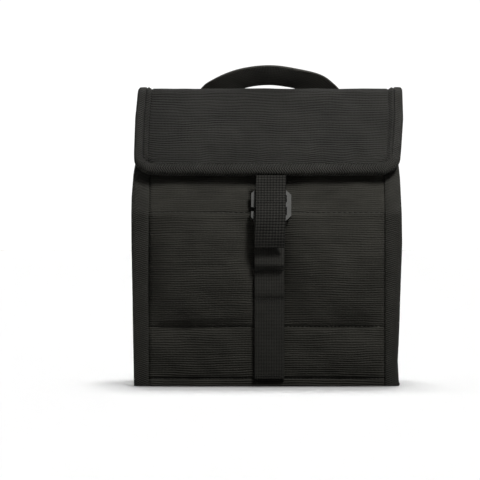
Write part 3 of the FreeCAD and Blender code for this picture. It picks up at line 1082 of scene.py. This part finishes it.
# ------ ladder
LOOP_SHAPE = ((0.0012, 0.0001), (0.0030, 0.0030), (0.0050, 0.0048), (0.0080, 0.0046), (0.0130, 0.0036),
              (0.0180, 0.0022), (0.0225, 0.0003), (0.0235, 0.0))


def ladder():
    """Backing webbing with a second one tacked over it as a row of loops."""
    x = LADDER_X
    y0 = -OUTER_Y
    web = 0.0013
    back = [Vector((x, y0 - web / 2 + 0.0002, z)) for z in np.linspace(0.0045, 0.1460, 60)]
    obj = ribbon("ladder_back_web", back, web, WEB, WEBBING)
    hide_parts("ladder_backing")
    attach(obj, "shell")
    skin = y0 - web - web / 2
    pts = [Vector((x, skin, 0.0062)), Vector((x, skin - 0.0003, 0.030)), Vector((x, skin - 0.0002, 0.055)),
           Vector((x, skin, 0.0708))]
    for start, fullness in ((0.071, 0.25), (0.095, 1.0)):
        for step, out in LOOP_SHAPE:
            pts.append(Vector((x, skin - out * fullness, start + step)))
    line = smooth_path(pts, 5)
    loops = ribbon("ladder_loops_web", line, web, WEB - 0.0004, WEBBING)
    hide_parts("ladder_loops")
    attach(loops, "shell")
    pts = [Vector((x, skin, 0.1192)), Vector((x, -0.0870, 0.1240)), Vector((x, -0.0891, 0.1310)),
           Vector((x, -0.0889, 0.1384)), Vector((x, -0.0865, 0.1428)), Vector((x, -0.0838, 0.1442)),
           Vector((x, skin, 0.1456))]
    line = smooth_path(pts, 7)
    top = ribbon("ladder_top_web", line, 0.0011, WEB - 0.0004, WEBBING)
    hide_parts("ladder_top_loop")
    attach(top, "shell")
    out = Vector((0, -1, 0))
    for k, z in enumerate((0.0082, 0.0700, 0.0722, 0.0945, 0.0958)):
        a = Vector((x - WEB / 2 + 0.0012, skin - web / 2 - 0.0001, z))
        b = Vector((x + WEB / 2 - 0.0012, skin - web / 2 - 0.0001, z))
        row = stitch_row("ladder_tack_%d" % k, [a, b], [out, out], THREAD, "shell", 0.0016, 0.0003, 0.0003)
        if k == 0:
            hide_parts("ladder_bartacks")


ladder()


# ------ handle
HANDLE_X = 0.003
LEG = 0.065
BOX_LOW = 0.051
BOX_HIGH = 0.0725
BOX_HALF = WEB / 2 - 0.0028


def roof_frame(x, s, n):
    """Point at slope distance s and height n over the inside of the back top panel."""
    return BACK.point(x, ROOF_D + s, n - WALL)


HANDLE_TOP_EDGE = ((-0.0745, 0.0363, 0.2057), (-0.0738, 0.0325, 0.2130), (-0.0680, 0.0285, 0.2280),
                   (-0.0572, 0.0180, 0.2500), (-0.0450, 0.0110, 0.2586), (-0.0229, 0.0062, 0.2664),
                   (0.0029, 0.0042, 0.2694), (0.0287, 0.0060, 0.2662), (0.0470, 0.0090, 0.2624),
                   (0.0562, 0.0120, 0.2560), (0.0640, 0.0180, 0.2470), (0.0740, 0.0290, 0.2260),
                   (0.0798, 0.0325, 0.2130), (0.0805, 0.0363, 0.2057))
HANDLE_LOW_EDGE = ((-0.0495, 0.0363, 0.2057), (-0.0486, 0.0332, 0.2120), (-0.0445, 0.0335, 0.2200),
                   (-0.0360, 0.0272, 0.2385), (-0.0262, 0.0246, 0.2482), (-0.0132, 0.0236, 0.2528),
                   (0.0029, 0.0232, 0.2540), (0.0175, 0.0235, 0.2522), (0.0285, 0.0228, 0.2484),
                   (0.0372, 0.0244, 0.2430), (0.0440, 0.0280, 0.2355), (0.0510, 0.0335, 0.2190),
                   (0.0546, 0.0332, 0.2120), (0.0555, 0.0363, 0.2057))


def handle():
    """Webbing arch between two sewn ends, its inner face turned to the front, kinked on the right."""
    outer = smooth_path([Vector(p) for p in HANDLE_TOP_EDGE], 8)
    inner = smooth_path([Vector(p) for p in HANDLE_LOW_EDGE], 8)
    centre = [(a + b) / 2 for a, b in zip(outer, inner)]
    across = [b - a for a, b in zip(outer, inner)]
    up = (roof_frame(0, 0, 1) - roof_frame(0, 0, 0)).normalized()
    # the arch takes the lighter webbing copy, painted light on its shaded underside
    obj = ribbon("handle_web", centre, 0.0019, WEB, HANDLE_WEBBING_PAINTED_LIGHT, across)
    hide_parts("handle_webbing")
    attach(obj, "handle")
    for k, side in enumerate((-1, 1)):
        x = HANDLE_X + side * LEG
        line = [roof_frame(x, 0.047 + 0.0315 * i / 12, WALL + 0.0008 + 0.0003 * math.sin(i * 0.5))
                for i in range(13)]
        end = ribbon("handle_end_%d" % k, line, 0.0014, WEB, WEBBING)
        if k == 0:
            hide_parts("handle_ends", "handle_bartacks")
        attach(end, "back_top")
        corners = [(-BOX_HALF, BOX_LOW), (BOX_HALF, BOX_LOW), (BOX_HALF, BOX_HIGH), (-BOX_HALF, BOX_HIGH),
                   (-BOX_HALF, BOX_LOW), (BOX_HALF, BOX_HIGH)]
        pts = [roof_frame(x + a, b, WALL + 0.0017) for a, b in corners]
        stitch_row("handle_box_%d" % k, pts, [up] * len(pts), THREAD, "back_top", 0.002, 0.0007, 0.0003)


handle()


# ------ stitching
def row_on(name, profile, height, xa, xb, d, material, body, lift=0.00005, **kw):
    """Row of stitches across a panel at arc length d."""
    count = max(int(abs(xb - xa) / 0.004), 2)
    pts, normals = [], []
    for k in range(count + 1):
        x = xa + (xb - xa) * k / count
        p = profile.point(x, d, height(x, d) + lift)
        q = profile.point(x, d, height(x, d) + lift + 0.001)
        pts.append(p)
        normals.append((q - p).normalized())
    return stitch_row(name, pts, normals, material, body, **kw)


def seam_stitches():
    """Rows across the front on both sides of the webbing, and one along the flap's tape."""
    left = (-HALF + 0.003, LADDER_LEFT - 0.0015)
    right = (LADDER_RIGHT + 0.0015, HALF - 0.003)
    long_stitch = dict(lift=0.0003, length=0.0030, gap=0.0014)
    rows = (("low_left", left, ROW_LOW, THREAD, "shell", {}),
            # the right half of the low row uses the paler thread copy, painted light from the right
            ("low_right", right, ROW_LOW, THREAD_PAINTED_LIGHT, "shell", {}),
            ("base_left", left, ROW_BASE, THREAD, "shell", {}),
            ("base_right", right, ROW_BASE, THREAD, "shell", {}),
            ("top_left", left, ROW_TOP, ROW_THREAD, "front_top", long_stitch),
            ("top_right", right, ROW_TOP, ROW_THREAD, "front_top", long_stitch))
    for word, ends, d, material, body, kind in rows:
        row_on("front_row_" + word, FRONT, front_height, *ends, d, material, body, **kind)
    row_on("flap_row", BACK, flap_height, -0.097, 0.097, FLAP_END - TAPE_LOW + 0.0012, THREAD, "flap",
           lift=0.0014)


seam_stitches()


# ------ stage, lights and camera
VIEW_WIDTH = 0.3975
SUBJECT_OFFSET = 0.0222
EYE = 3.0
EYE_HEIGHT = 0.1208
STUDIO_WHITE = 1.05
SKY_LIGHT = 0.20
FLOOR_GREY = 0.60


def stage():
    """Flat pale floor that runs out to the horizon."""
    mesh = bpy.data.meshes.new("floor")
    far = 40.0
    mesh.from_pydata([(-far, -far, 0), (far, -far, 0), (far, far, 0), (-far, far, 0)], [], [(0, 1, 2, 3)])
    floor = bpy.data.objects.new("floor", mesh)
    floor.location.z = -0.0002
    bpy.context.scene.collection.objects.link(floor)
    n = Nodes("studio_floor")
    n.bsdf.inputs["Base Color"].default_value = (FLOOR_GREY, FLOOR_GREY, FLOOR_GREY, 1)
    mesh.materials.append(n.finish(0.95, specular=0.0))
    return floor


def studio_world():
    """White backdrop, with a dimmer glow for what it lights."""
    world = bpy.data.worlds.new("studio")
    world.use_nodes = True
    tree = world.node_tree
    background = tree.nodes["Background"]
    background.inputs[0].default_value = (1, 1, 1, 1)
    seen = tree.nodes.new("ShaderNodeLightPath")
    strength = tree.nodes.new("ShaderNodeMapRange")
    strength.inputs["To Min"].default_value = SKY_LIGHT
    strength.inputs["To Max"].default_value = STUDIO_WHITE
    tree.links.new(seen.outputs["Is Camera Ray"], strength.inputs["Value"])
    tree.links.new(strength.outputs["Result"], background.inputs["Strength"])
    bpy.context.scene.world = world


def aim(light, name, toward):
    """Puts a light in the scene, shining from the direction toward."""
    obj = bpy.data.objects.new(name, light)
    obj.rotation_mode = "QUATERNION"
    obj.rotation_quaternion = Vector(toward).to_track_quat("Z", "Y")
    bpy.context.scene.collection.objects.link(obj)
    return obj


def light_link(obj, thing, state):
    """Makes a light include only one thing, or leave it out."""
    group = bpy.data.collections.new(obj.name + "_receivers")
    group.objects.link(thing)
    obj.light_linking.receiver_collection = group
    group.collection_objects[0].light_linking.link_state = state


def sun(name, toward, angle, power):
    """Soft distant light that comes from the direction toward."""
    light = bpy.data.lights.new(name, "SUN")
    light.angle = math.radians(angle)
    light.energy = power
    return aim(light, name, toward)


def softbox(name, at, target, size, power):
    """Round soft light near the bag."""
    light = bpy.data.lights.new(name, "AREA")
    light.shape = "DISK"
    light.size = size
    light.energy = power
    obj = aim(light, name, Vector(at) - Vector(target))
    obj.location = at
    return obj


def studio_camera():
    """Level camera in front, set so the bag fills the frame as wide as the view asks."""
    camera = bpy.data.cameras.new("camera")
    camera.sensor_width = 36
    camera.lens = camera.sensor_width * (EYE - OUTER_Y) / VIEW_WIDTH
    camera.shift_x = -SUBJECT_OFFSET / VIEW_WIDTH
    eye = bpy.data.objects.new("camera", camera)
    eye.location = (0, -EYE, EYE_HEIGHT)
    eye.rotation_euler = (math.pi / 2, 0, 0)
    bpy.context.scene.collection.objects.link(eye)
    bpy.context.scene.camera = eye
    bpy.context.scene.view_settings.view_transform = "Standard"


studio_world()
floor = stage()
key = sun("key", (0.70, -0.70, 1.55), 12, 2.6)
near_key = softbox("near_key", (0.24, -0.35, 0.56), (0, -0.05, 0.18), 0.16, 4.3)
sun("rear", (0.02, 0.8, 1.15), 25, 3.0)
overhead = sun("overhead", (0.06, 0.10, 1.0), 20, 2.2)
light_link(key, floor, "EXCLUDE")
light_link(near_key, floor, "EXCLUDE")
light_link(overhead, floor, "INCLUDE")
studio_camera()
